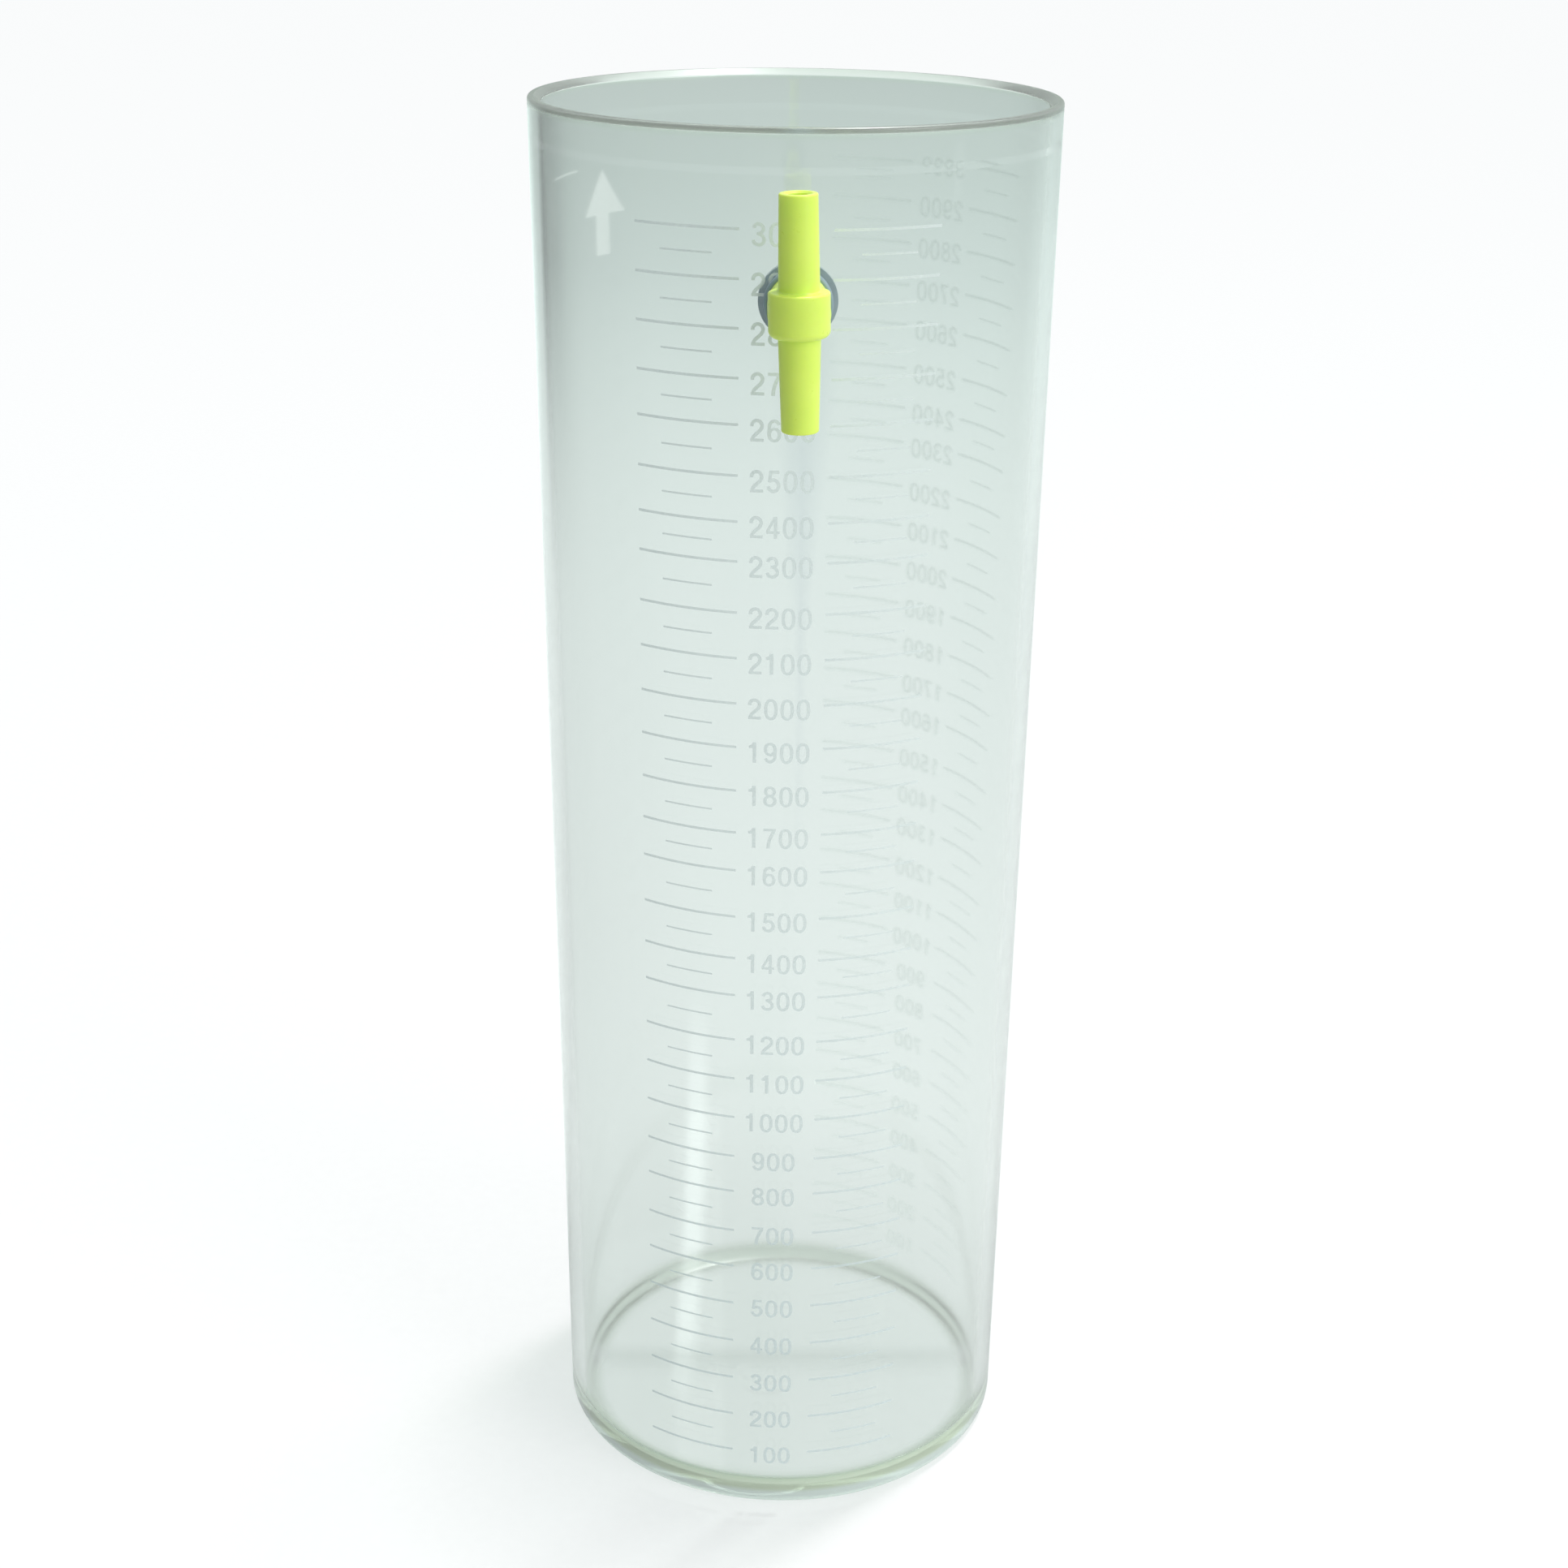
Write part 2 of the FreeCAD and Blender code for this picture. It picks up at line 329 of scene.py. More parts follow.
def make_container():
    right = half_columns()
    th = np.radians(np.array([-a for a in right[::-1][:-1]][1:] + right))
    # azimuths run from just past -180 to 180 degrees, 0 is the port side (-Y)
    cols = len(th)
    zero = int(np.argmin(np.abs(th)))
    wz0, wz1, wn, wc = PORT_Z - 12.5, PORT_Z + 12.5, 10, 10

    prof = rounded([
        ((0.0, 0.0), 0),
        ((outer_r(0) - SKIN, 0.0), 2.5),
        ((outer_r(H) - SKIN, H), 0.75),
        ((MOUTH_R + 1.60 + SKIN, H), 0.25),
        ((MOUTH_R + SKIN, H - 1.45), 0.50),
        ((MOUTH_R + SKIN, SEAT_Z + 1.60), 0.40),
        ((inner_r(SEAT_Z) + SKIN, SEAT_Z), 0.40),
        ((inner_r(FLOOR_Z) + SKIN, FLOOR_Z), 4.0),
        ((0.0, FLOOR_Z), 0),
    ])
    rows = []          # (r, z, nr, nz, kind)

    def put(p, n, kind):
        rows.append((p[0], p[1], n[0], n[1], kind))

    def straight(p, q, n, zs=None, rs=None, kind="wall"):
        if zs is not None:
            for z in zs:
                f = (z - p[1]) / (q[1] - p[1])
                put(p + (q - p) * f, n, kind)
        if rs is not None:
            for r in rs:
                f = (r - p[0]) / (q[0] - p[0])
                put(p + (q - p) * f, n, kind)

    window = list(np.linspace(wz0, wz1, wn + 1))
    bottom, rim_o, ch_a, ch_b, seat_o, seat_i, fillet = prof[1][1], prof[2][1], prof[3][1], prof[4][1], prof[5][1], prof[6][1], prof[7][1]
    # underside
    down = np.array([0.0, -1.0])
    straight(np.array([0.0, 0.0]), bottom[0][0], down, rs=[6, 18, 30, 42, 50], kind="under")
    for p, n in bottom:
        put(p, n, "wall")
    nrm = bottom[-1][1]
    straight(bottom[-1][0], rim_o[0][0], nrm, zs=[40, 90, 140, 190, 240, 275] + window + [328], kind="outer")
    for p, n in rim_o + ch_a + ch_b + seat_o + seat_i:
        put(p, n, "wall")
    nrm = seat_i[-1][1]
    straight(seat_i[-1][0], fillet[0][0], nrm, zs=[325] + window[::-1] + [275, 240, 190, 140, 90, 40], kind="inner")
    for k, (p, n) in enumerate(fillet):
        put(p, n, "fillet%d" % k)
    r_in = fillet[-1][0][0]
    for r in list(np.linspace(r_in, 16, 20))[1:] + list(np.linspace(16, 0.4, 40))[1:]:
        rows.append((r, FLOOR_Z, 0.0, 1.0, "floor"))

    s, c = np.sin(th), np.cos(th)
    verts, norms, ids = [], [], []
    for r, z, nr, nz, kind in rows:
        x, y = r * s, -r * c
        zz = np.full(cols, float(z))
        n = np.stack([nr * s, -nr * c, np.full(cols, nz)], 1)
        share = 1.0 if kind == "floor" else (1 - min(1.0, (z - FLOOR_Z) / 1.5) if kind.startswith("fillet") else 0.0)
        if share > 0:
            e = 0.02
            zz = zz + rib_height(x, y) * share
            hx = (rib_height(x + e, y) - rib_height(x - e, y)) / (2 * e) * share
            hy = (rib_height(x, y + e) - rib_height(x, y - e)) / (2 * e) * share
            n = n + np.stack([-hx, -hy, np.zeros(cols)], 1) * max(nz, 0.0)
            n /= np.linalg.norm(n, axis=1)[:, None]
        start = len(verts)
        verts += [(x[i], y[i], zz[i]) for i in range(cols)]
        norms += [tuple(v) for v in n]
        ids.append(np.arange(start, start + cols))
    faces, loops = [], []

    def face(vs, ns=None):
        faces.append([int(v) for v in vs])
        loops.extend(ns if ns is not None else [norms[v] for v in vs])

    # the two poles
    verts.append((0.0, 0.0, 0.0)); norms.append((0.0, 0.0, -1.0)); south = len(verts) - 1
    top = FLOOR_Z + float(rib_height(np.array([0.0]), np.array([0.0]))[0])
    verts.append((0.0, 0.0, top)); norms.append((0.0, 0.0, 1.0)); north = len(verts) - 1
    for j in range(cols):
        k = (j + 1) % cols
        face([south, ids[0][k], ids[0][j]])
        face([north, ids[-1][j], ids[-1][k]])

    def in_window(i, j):
        a, b = rows[i], rows[i + 1]
        if a[4] != b[4] or a[4] not in ("outer", "inner"):
            return False
        lo, hi = min(a[1], b[1]), max(a[1], b[1])
        return lo > wz0 - 0.01 and hi < wz1 + 0.01 and zero - wc <= j < zero + wc

    for i in range(len(rows) - 1):
        for j in range(cols):
            if in_window(i, j):
                continue
            k = (j + 1) % cols
            face([ids[i][j], ids[i][k], ids[i + 1][k], ids[i + 1][j]])

    # the wall round the port: from the window's edge in to the round hole
    def loop_of(kind):
        sel = [i for i, r in enumerate(rows) if r[4] == kind and wz0 - 0.01 < r[1] < wz1 + 0.01]
        sel.sort(key=lambda i: rows[i][1])
        lo, hi = zero - wc, zero + wc
        ring = [ids[sel[0]][j] for j in range(lo, hi)]
        ring += [ids[i][hi] for i in sel[:-1]]
        ring += [ids[sel[-1]][j] for j in range(hi, lo, -1)]
        ring += [ids[i][lo] for i in sel[:0:-1]]
        return [int(v) for v in ring]

    rings = {}
    angles = None
    for kind, R, sign in (("outer", lambda z: outer_r(z) - SKIN, 1.0), ("inner", lambda z: inner_r(z) + SKIN, -1.0)):
        edge = loop_of(kind)
        if angles is None:
            angles = [math.atan2(verts[v][2] - PORT_Z, verts[v][0]) for v in edge]
        slope = (R(wz1) - R(wz0)) / (wz1 - wz0)
        before = edge
        for u in (0.12, 0.3, 0.55, 0.8, 1.0):
            now = []
            for v, a in zip(edge, angles):
                x = verts[v][0] * (1 - u) + HOLE_R * math.cos(a) * u
                z = verts[v][2] * (1 - u) + (PORT_Z + HOLE_R * math.sin(a)) * u
                r = R(z)
                y = -math.sqrt(r * r - x * x)
                n = np.array([x / r, y / r, -slope]) * sign
                n /= np.linalg.norm(n)
                verts.append((x, y, z)); norms.append(tuple(n)); now.append(len(verts) - 1)
            m = len(edge)
            for q in range(m):
                w = (q + 1) % m
                vs = [before[q], before[w], now[w], now[q]]
                face(vs if sign > 0 else vs[::-1])
            before = now
        rings[kind] = before
    m = len(angles)
    for q in range(m):
        w = (q + 1) % m
        vs = [rings["outer"][q], rings["outer"][w], rings["inner"][w], rings["inner"][q]]
        nq = (-math.cos(angles[q]), 0.0, -math.sin(angles[q]))
        nw = (-math.cos(angles[w]), 0.0, -math.sin(angles[w]))
        face(vs, [nq, nw, nw, nq])

    o = mesh_piece("clear_container", np.array(verts) * MM, faces, loops)
    return o


# ------------------------------------------------------------------ printed scale
def ribbon(points, w, closed=False):
    p = [np.array(q, float) for q in points]
    n = len(p)
    left, right = [], []
    for i in range(n):
        a = p[i - 1] if (i > 0 or closed) else p[i]
        b = p[(i + 1) % n] if (i < n - 1 or closed) else p[i]
        d = b - a
        d /= np.linalg.norm(d)
        e = np.array([-d[1], d[0]])
        ww = w[i] if isinstance(w, (list, tuple)) else w
        left.append(p[i] + e * ww / 2)
        right.append(p[i] - e * ww / 2)
    faces = []
    for i in range(n if closed else n - 1):
        j = (i + 1) % n
        faces.append([left[i], right[i], right[j], left[j]])
    return faces


def ring(cx, cy, rx, ry, wx, wy, power=2.25, n=26):
    """Oval ring: outer half sizes rx, ry, stroke wx at the sides and wy at the top."""
    def at(ax, ay, t):
        cs, sn = math.cos(t), math.sin(t)
        return np.array([cx + ax * math.copysign(abs(cs) ** (2 / power), cs), cy + ay * math.copysign(abs(sn) ** (2 / power), sn)])
    faces = []
    for i in range(n):
        t0, t1 = 2 * math.pi * i / n, 2 * math.pi * (i + 1) / n
        faces.append([at(rx, ry, t0), at(rx, ry, t1), at(rx - wx, ry - wy, t1), at(rx - wx, ry - wy, t0)])
    return faces


def sweep(cx, cy, rx, ry, a0, a1, n=10):
    return [(cx + rx * math.cos(math.radians(a0 + (a1 - a0) * i / n)), cy + ry * math.sin(math.radians(a0 + (a1 - a0) * i / n)))
            for i in range(n + 1)]


def glyph_shapes():
    """Plain bold digits on a cap height of 1: lists of small convex faces that overlap freely."""
    W, T = 0.158, 0.135
    g = {}
    g["0"] = ring(0.31, 0.5, 0.310, 0.510, W, T, 2.35)
    g["1"] = [[(0.235, 0), (0.395, 0), (0.395, 1.0), (0.235, 1.0)],
              [(0.235, 0.70), (0.235, 0.96), (0.20, 0.885), (0.13, 0.845), (0.06, 0.825), (0.06, 0.70)],
              [(0.235, 0.90), (0.275, 1.0), (0.30, 1.0), (0.30, 0.90)]]
    g["2"] = ribbon(sweep(0.305, 0.70, 0.222, 0.232, 188, -28, 12) + [(0.44, 0.500), (0.345, 0.405), (0.245, 0.320), (0.160, 0.225), (0.112, 0.115), (0.10, 0.05)], W)
    g["2"] += [[(0.018, 0), (0.600, 0), (0.600, 0.138), (0.018, 0.138)]]
    g["3"] = ribbon(sweep(0.300, 0.735, 0.200, 0.197, 172, -68, 11) + [(0.30, 0.536)], 0.150)
    g["3"] += ribbon([(0.30, 0.536)] + sweep(0.302, 0.283, 0.230, 0.217, 62, -174, 12), 0.152)
    g["3"] += [[(0.225, 0.475), (0.34, 0.475), (0.38, 0.60), (0.225, 0.60)]]
    g["4"] = [[(0.345, 0), (0.497, 0), (0.497, 1.0), (0.345, 1.0)],
              [(0.015, 0.222), (0.605, 0.222), (0.605, 0.352), (0.015, 0.352)],
              [(0.345, 1.0), (0.015, 0.372), (0.015, 0.352), (0.142, 0.352), (0.345, 0.740)]]
    g["5"] = [[(0.125, 0.862), (0.560, 0.862), (0.560, 1.0), (0.125, 1.0)],
              [(0.125, 1.0), (0.060, 0.470), (0.190, 0.470), (0.262, 0.900), (0.262, 1.0)]]
    g["5"] += ribbon([(0.120, 0.510)] + sweep(0.305, 0.325, 0.230, 0.258, 118, -172, 14), W)
    g["6"] = ring(0.320, 0.320, 0.298, 0.330, W, 0.128, 2.1, 24)
    g["6"] += ribbon([(0.090, 0.30), (0.090, 0.48), (0.104, 0.63)] + sweep(0.325, 0.655, 0.222, 0.278, 165, 22, 10), 0.150)
    g["7"] = [[(0.025, 0.862), (0.600, 0.862), (0.600, 1.0), (0.025, 1.0)]]
    g["7"] += ribbon([(0.520, 0.930), (0.500, 0.830), (0.405, 0.660), (0.315, 0.440), (0.262, 0.220), (0.245, 0.0)], 0.160)
    g["8"] = ring(0.310, 0.745, 0.272, 0.263, 0.148, 0.120, 2.1, 24) + ring(0.310, 0.283, 0.305, 0.292, W, 0.128, 2.1, 24)
    g["9"] = [[(0.62 - x, 1.0 - y) for x, y in f] for f in g["6"]]
    return g


def merge_faces(faces):
    """Union of overlapping flat faces as (points, triangles)."""
    vs, fs = [], []
    for f in faces:
        area = sum(f[i][0] * f[(i + 1) % len(f)][1] - f[(i + 1) % len(f)][0] * f[i][1] for i in range(len(f)))
        q = list(f) if area > 0 else list(f)[::-1]
        fs.append(list(range(len(vs), len(vs) + len(q))))
        vs += [Vector((float(a[0]), float(a[1]))) for a in q]
    r = delaunay_2d_cdt(vs, [], fs, 1, 1e-5)
    tris = [list(t) for t, src in zip(r[2], r[5]) if src]
    used = sorted({v for t in tris for v in t})
    new = {v: i for i, v in enumerate(used)}
    return np.array([[r[0][v].x, r[0][v].y] for v in used]), [[new[v] for v in t] for t in tris]


def bar(a0, a1, z0, z1):
    """Rectangle in (degrees, mm), cut every 2.5 degrees so that it follows the wall."""
    n = max(1, int(math.ceil(abs(a1 - a0) / 2.5)))
    x = np.linspace(a0, a1, n + 1)
    pts = [[v, z0] for v in x] + [[v, z1] for v in x]
    tri = []
    for i in range(n):
        tri += [[i, i + 1, n + 2 + i], [i, n + 2 + i, n + 1 + i]]
    return np.array(pts), tri


def wrap_print(name, shapes, lift=0.030, thick=0.030):
    """Thin closed skin of ink on the outside wall, from shapes in (degrees of azimuth, height in mm)."""
    verts, faces = [], []
    for pts, tris in shapes:
        a, z = np.radians(pts[:, 0]), pts[:, 1]
        base = len(verts)
        n = len(pts)
        for off in (lift, lift + thick):
            r = np.array([outer_r(q) for q in z]) - SKIN + off
            verts += [(r[i] * math.sin(a[i]), -r[i] * math.cos(a[i]), z[i]) for i in range(n)]
        edges = {}
        for t in tris:
            x0, y0 = pts[t[0]]; x1, y1 = pts[t[1]]; x2, y2 = pts[t[2]]
            if (x1 - x0) * (y2 - y0) - (x2 - x0) * (y1 - y0) < 0:
                t = t[::-1]
            faces.append([base + n + v for v in t])
            faces.append([base + v for v in t[::-1]])
            for i in range(3):
                u, w = t[i], t[(i + 1) % 3]
                if (w, u) in edges:
                    del edges[(w, u)]
                else:
                    edges[(u, w)] = 1
        for u, w in edges:
            faces.append([base + u, base + w, base + n + w, base + n + u])
    o = mesh_piece(name, np.array(verts) * MM, faces, None, smooth_faces=False)
    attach(o, "canister")
    return o


TICKS = {3000: .9402, 2900: .9102, 2800: .8800, 2700: .8492, 2600: .8200, 2500: .7875, 2400: .7577, 2300: .7315,
         2200: .6974, 2100: .6665, 2000: .6353, 1900: .6049, 1800: .5740, 1700: .5438, 1600: .5162, 1500: .4819,
         1400: .4506, 1300: .4224, 1200: .3881, 1100: .3576, 1000: .3267, 900: .2953, 800: .2666, 700: .2341,
         600: .2041, 500: .1727, 400: .1404, 300: .1079, 200: .0757, 100: .0434}

GLYPHS = {k: merge_faces(v) for k, v in glyph_shapes().items()}


def number(text, azimuth, z_mid, cap=4.9, pitch=3.6, ink_w=3.05):
    """Digits centred at an azimuth and a height, as shapes for wrap_print."""
    k = 180 / math.pi / outer_r(z_mid)
    out = []
    n = len(text)
    for i, ch in enumerate(text):
        pts, tris = GLYPHS[ch]
        mid = (i - (n - 1) / 2) * pitch
        x = (pts[:, 0] - 0.31) / 0.62 * ink_w + mid
        z = (pts[:, 1] - 0.5) * cap + z_mid
        out.append((np.stack([azimuth + x * k, z], 1), tris))
    return out


def scale_print(name, centre, long_l, long_r, short_l, short_r):
    shapes = []
    values = sorted(TICKS)
    for i, v in enumerate(values):
        z = FOOT + TICKS[v] * 340.0
        c = centre(z)
        shapes += number(str(v), c, z - 1.0)
        for a, b in (long_l(z), long_r(z)):
            shapes.append(bar(c + a, c + b, z - 0.30, z + 0.30))
        if i + 1 < len(values):
            zm = (z + FOOT + TICKS[values[i + 1]] * 340.0) / 2
            c = centre(zm)
            for a, b in (short_l(zm), short_r(zm)):
                shapes.append(bar(c + a, c + b, zm - 0.21, zm + 0.21))
    return wrap_print(name, shapes)


def make_prints():
    def top(z, a, b):      # a at the top of the scale, b at the bottom
        f = (z - 15) / 305.0
        return b + (a - b) * f

    front = scale_print(
        "printed_scale_front", lambda z: top(z, -2.75, -3.5),
        lambda z: (-32.0, top(z, -9.1, -9.4)), lambda z: (top(z, 9.7, 9.5), top(z, 32.6, 31.9)),
        lambda z: (-26.1, -14.7), lambda z: (15.4, 27.3))
    back = scale_print(
        "printed_scale_back", lambda z: 139.4,
        lambda z: (-30.0, -8.9), lambda z: (8.9, 30.0),
        lambda z: (-24.5, -14.5), lambda z: (14.5, 24.5))
    # arrow and full line at the back
    a = 234.8 - 1.0
    line = bar(245.0, 261.0, FOOT + 319.2, FOOT + 319.65)
    # the head is cut along its height so that it follows the wall
    cuts = []
    for i in range(6):
        f0, f1 = i / 6, (i + 1) / 6
        z0, z1 = FOOT + 308.0 + 10.5 * f0, FOOT + 308.0 + 10.5 * f1
        l0, r0, l1, r1 = a - 8.0 * (1 - f0), a + 7.7 * (1 - f0), a - 8.0 * (1 - f1), a + 7.7 * (1 - f1)
        m = 6
        for q in range(m):
            u0, u1 = q / m, (q + 1) / m
            quad = [(l0 + (r0 - l0) * u0, z0), (l0 + (r0 - l0) * u1, z0), (l1 + (r1 - l1) * u1, z1), (l1 + (r1 - l1) * u0, z1)]
            if f1 >= 0.999:
                quad = quad[:3]
            cuts.append(quad)
    steps = 4
    for i in range(steps):
        x0, x1 = a - 2.3 + 5.3 * i / steps, a - 2.3 + 5.3 * (i + 1) / steps
        cuts.append([(x0, FOOT + 298.3), (x1, FOOT + 298.3), (x1, FOOT + 308.0), (x0, FOOT + 308.0)])
    arrow = wrap_print("printed_arrow_back", [merge_faces(cuts), line])
    return front, back, arrow


# ------------------------------------------------------------------ build the object
container = make_container()
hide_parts("canister")
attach(container, "canister")
dress(container, clear_plastic())

front, back, arrow = make_prints()
# one white ink throughout: the back scale and the arrow are painted lighter than the front scale, a painted
# brightening for the shade on their inward faces
dress(front, ink("scale_ink_front", (0.82, 0.90, 0.88), (0.77, 0.855, 0.84), 0.53, (0.66, 0.755, 0.755)))
dress(back, ink("scale_ink_back", (0.88, 0.975, 0.935), (0.83, 0.925, 0.89), 0.32))
dress(arrow, ink("arrow_ink", (0.97, 1.0, 1.0), (0.93, 0.97, 0.96), 0.60))

dress(frame["nodes"]["tee_connector"], yellow_plastic())
dress(frame["nodes"]["port_grommet"], rubber())

# ------------------------------------------------------------------ stage
AXIS_SUN = Vector((0.232, 0.228, 0.946))
FLOOR_THROUGH = [(0.00, (.662, .720, .702)), (0.015, (.700, .761, .743)), (0.04, (.835, .902, .884)), (0.075, (.820, .889, .871)),
                 (0.1375, (.800, .872, .854)), (0.225, (.765, .849, .827)), (0.325, (.688, .784, .758)), (0.425, (.600, .698, .672)),
                 (0.575, (.522, .620, .590)), (1.0, (.46, .545, .515))]
THROUGH_LEFT = 0.93
FLOOR_BOUNCE = [(0.0, (.95, .95, .95)), (0.10, (.88, .89, .89)), (0.30, (.62, .64, .64)), (0.60, (.42, .44, .44)), (1.0, (.30, .32, .32))]


CARD_THROUGH = [(-60, 0.85), (-37, 0.54), (-20, 0.40), (-13, 0.78), (-6, 0.95), (0, 1.0), (5, 1.03), (12, 1.06), (20, 1.08), (36, 1.10), (60, 1.0)]
CARD_THROUGH_NEAR = [(-60, 0.90), (-35, 0.88), (-20, 0.92), (-6, 1.0), (0, 1.0), (20, 1.02), (36, 1.0), (60, 1.0)]
CARD_MIRROR_NEAR = [(-70, 0.85), (-52, 0.85), (-40, 1.22), (-20, 1.36), (20, 1.02), (40, 1.02), (52, 0.92), (70, 0.90)]
CARD_MIRROR_FAR = [(-80, 0.80), (-60, 0.04), (-42, 0.04), (-36, 1.65), (-20, 2.00), (20, 1.38), (45, 1.40), (70, 0.95)]


def stage_floor():
    n = 96
    rings_m = [0.0, 0.3, 1.0, 3.0, 12.0]
    verts, faces = [(0.0, 0.0, -0.0002)], []
    for r in rings_m[1:]:
        verts += [(r * math.cos(2 * math.pi * i / n), r * math.sin(2 * math.pi * i / n), -0.0002) for i in range(n)]
    for i in range(n):
        j = (i + 1) % n
        faces.append([0, 1 + i, 1 + j])
        for k in range(len(rings_m) - 2):
            a, b = 1 + k * n, 1 + (k + 1) * n
            faces.append([a + i, b + i, b + j, a + j])
    o = mesh_piece("studio_floor", verts, faces, None, smooth_faces=False)
    g = Graph("studio_paper")
    pos = g("ShaderNodeNewGeometry").outputs["Position"]
    dist = g("ShaderNodeVectorMath", operation="LENGTH", i0=pos).outputs["Value"]
    place = g("ShaderNodeSeparateXYZ", i0=pos)
    px = place.outputs["X"]
    bearing = g("ShaderNodeMath", operation="ARCTAN2", i0=px, i1=place.outputs["Y"]).outputs[0]
    bearing = g.remap(bearing, -math.pi, math.pi, 0.0, 1.0)
    side = g.math("DIVIDE", px, g.math("MAXIMUM", dist, 0.001))
    fine = g.noise(300.0, 3.0, 0.6, g("ShaderNodeTexCoord").outputs["Object"])
    white = g.ramp(fine, [(0.3, (0.735, 0.737, 0.737)), (0.7, (0.745, 0.747, 0.747))])
    diff = g("ShaderNodeBsdfDiffuse", Color=white)
    # what the paper sends through the clear wall: paler near the object, dimmer far away and to the left
    far = g.ramp(g.remap(dist, 0.0, 4.0, 0.0, 1.0), FLOOR_THROUGH)
    lean = g.remap(side, -1.0, 0.0, THROUGH_LEFT, 1.0)
    near = g.remap(dist, 0.08, 0.30, 1.0, 0.0)
    lean = g.math("MAXIMUM", lean, near)
    # a dark card far away at the left and a pale one at the right
    away = g.remap(dist, 0.70, 1.75, 0.0, 1.0)

    def cards(stops):
        return g.ramp(bearing, [(0.5 + a / 360.0, (v, v, v)) for a, v in stops])

    card = g("ShaderNodeMix", data_type="FLOAT", i0=away, i2=cards(CARD_THROUGH_NEAR), i3=cards(CARD_THROUGH)).outputs[0]
    card = g("ShaderNodeMix", data_type="FLOAT", i0=near, i2=card, i3=1.0).outputs[0]
    glow = g("ShaderNodeEmission", Color=far, Strength=g.math("MULTIPLY", lean, card))
    card = g("ShaderNodeMix", data_type="FLOAT", i0=away, i2=cards(CARD_MIRROR_NEAR), i3=cards(CARD_MIRROR_FAR)).outputs[0]
    # a narrow light strip laid on the paper in front, seen only as a reflection in the wall
    strip = g.ramp(bearing, [(0.5 - 147.0 / 360.0, (0, 0, 0)), (0.5 - 142.0 / 360.0, (1, 1, 1)), (0.5 - 138.0 / 360.0, (1, 1, 1)), (0.5 - 134.0 / 360.0, (0, 0, 0))])
    strip = g.math("MULTIPLY", strip, g.math("MULTIPLY", g.remap(dist, 0.085, 0.130, 0.0, 1.0), g.remap(dist, 0.24, 0.33, 1.0, 0.0)))
    mirror = g("ShaderNodeEmission", Color=far, Strength=g.math("MULTIPLY_ADD", strip, 2.8, g.math("MULTIPLY", lean, card)))
    # and what it sends on to other surfaces
    back = g.ramp(g.remap(dist, 0.0, 2.0, 0.0, 1.0), FLOOR_BOUNCE)
    bounce = g("ShaderNodeEmission", Color=back, Strength=g.remap(side, -1.0, 1.0, 0.80, 1.15))
    lp = g("ShaderNodeLightPath")
    mix = g("ShaderNodeMixShader", i0=lp.outputs["Is Diffuse Ray"], i1=diff, i2=bounce)
    mix = g("ShaderNodeMixShader", i0=lp.outputs["Is Glossy Ray"], i1=mix, i2=mirror)
    seen = g("ShaderNodeMixShader", i0=0.92, i1=diff, i2=glow)
    mix = g("ShaderNodeMixShader", i0=lp.outputs["Is Transmission Ray"], i1=mix, i2=seen)
    paper = g.out(mix)
    paper.cycles.emission_sampling = 'NONE'
    dress(o, paper)
    return o


stage_floor()


WORLD_GLOSS = [(0.0, (0.62, 0.72, 0.66)), (0.25, (0.64, 0.74, 0.68)), (0.60, (0.76, 0.84, 0.80)), (1.0, (1.0, 1.05, 1.05))]
WORLD_SIDE = [(0.0, (.29, .31, .32)), (0.35, (.49, .51, .52)), (0.65, (.88, .89, .89)), (1.0, (1.27, 1.27, 1.26))]


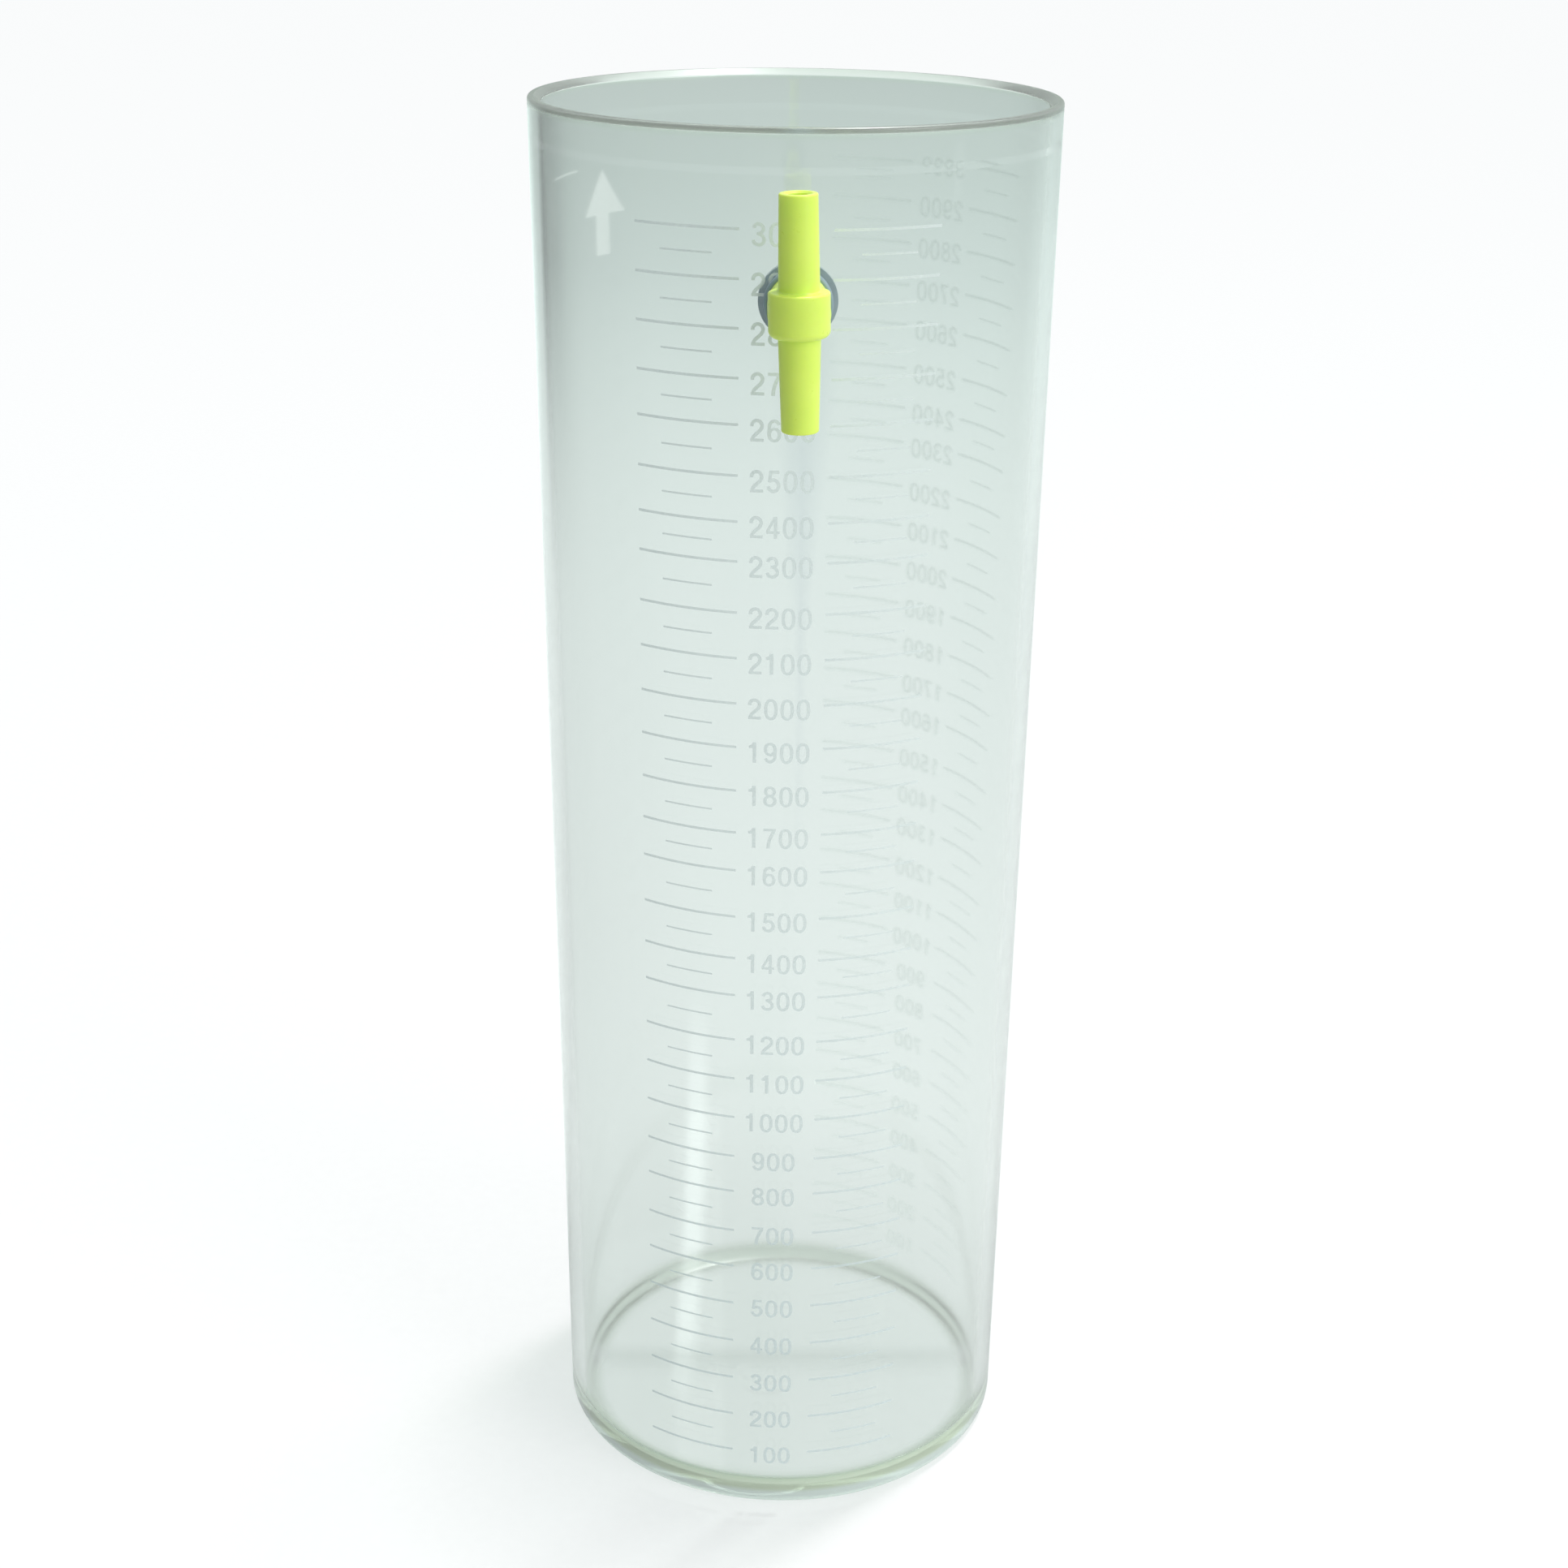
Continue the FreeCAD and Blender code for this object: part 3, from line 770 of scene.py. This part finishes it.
def world():
    w = bpy.data.worlds.new("studio")
    bpy.context.scene.world = w
    w.use_nodes = True
    w.cycles.sampling_method = 'NONE'
    g = Graph(tree=w.node_tree)
    d = g("ShaderNodeTexCoord").outputs["Generated"]
    xyz = g("ShaderNodeSeparateXYZ", i0=d)
    up = xyz.outputs["Z"]
    soft = g.ramp(g.remap(up, -0.2, 1.0, 0.0, 1.0), WORLD_GLOSS)
    tilt = g.remap(xyz.outputs["X"], -1.0, 1.0, 0.80, 1.20)
    gloss = g("ShaderNodeBackground", Color=soft, Strength=tilt)
    side = g.ramp(g.remap(xyz.outputs["X"], -1.0, 1.0, 0.0, 1.0), WORLD_SIDE)
    high = g.remap(up, 0.0, 1.0, 0.85, 1.15)
    plain = g("ShaderNodeBackground", Color=side, Strength=high)
    cam = g("ShaderNodeBackground", Color=(1, 1, 1, 1), Strength=1.1)
    lp = g("ShaderNodeLightPath")
    other = g.math("MAXIMUM", lp.outputs["Is Glossy Ray"], lp.outputs["Is Transmission Ray"])
    m1 = g("ShaderNodeMixShader", i0=other, i1=plain, i2=gloss)
    m2 = g("ShaderNodeMixShader", i0=lp.outputs["Is Camera Ray"], i1=m1, i2=cam)
    o = g("ShaderNodeOutputWorld")
    g.put(o.inputs["Surface"], m2)


world()


def area(name, at, to, w, h, watts, colour=(1, 1, 1), camera=False):
    li = bpy.data.lights.new(name, "AREA")
    li.shape = "RECTANGLE"
    li.size, li.size_y = w, h
    li.energy = watts
    li.color = colour
    o = link(bpy.data.objects.new(name, li))
    o.location = at
    d = (Vector(to) - Vector(at)).normalized()
    o.rotation_euler = d.to_track_quat("-Z", "Y").to_euler()
    o.visible_camera = camera
    return o


sun = bpy.data.lights.new("key", "SUN")
sun.energy = 1.8
sun.angle = math.radians(6.5)
key = link(bpy.data.objects.new("key", sun))
key.rotation_euler = (-AXIS_SUN).to_track_quat("-Z", "Y").to_euler()
area("fill_front_right", (1.3, -1.0, 0.9), (0, 0, 0.2), 0.9, 1.2, 10.0)

# ------------------------------------------------------------------ camera
cam_data = bpy.data.cameras.new("camera")
cam_data.sensor_width = 36.0
cam_data.lens = 55.4903
cam_data.clip_start, cam_data.clip_end = 0.01, 100.0
cam = link(bpy.data.objects.new("camera", cam_data))
r, u, f = Vector((0.999876, -0.011584, 0.010695)), Vector((-0.005558, 0.375837, 0.926669)), Vector((0.014754, 0.926613, -0.375726))
m = Matrix.Identity(4)
for i in range(3):
    m[i][0], m[i][1], m[i][2] = r[i], u[i], -f[i]
m.translation = Vector((-0.009759, -0.559103, 0.401714))
cam.matrix_world = m
scene = bpy.context.scene
scene.camera = cam

scene.view_settings.view_transform = "Standard"
scene.view_settings.look = "None"
scene.cycles.max_bounces = 13
scene.cycles.transmission_bounces = 13
scene.cycles.glossy_bounces = 10
scene.cycles.diffuse_bounces = 3
scene.cycles.transparent_max_bounces = 48
scene.cycles.caustics_reflective = False
scene.cycles.caustics_refractive = False
scene.cycles.use_denoising = True
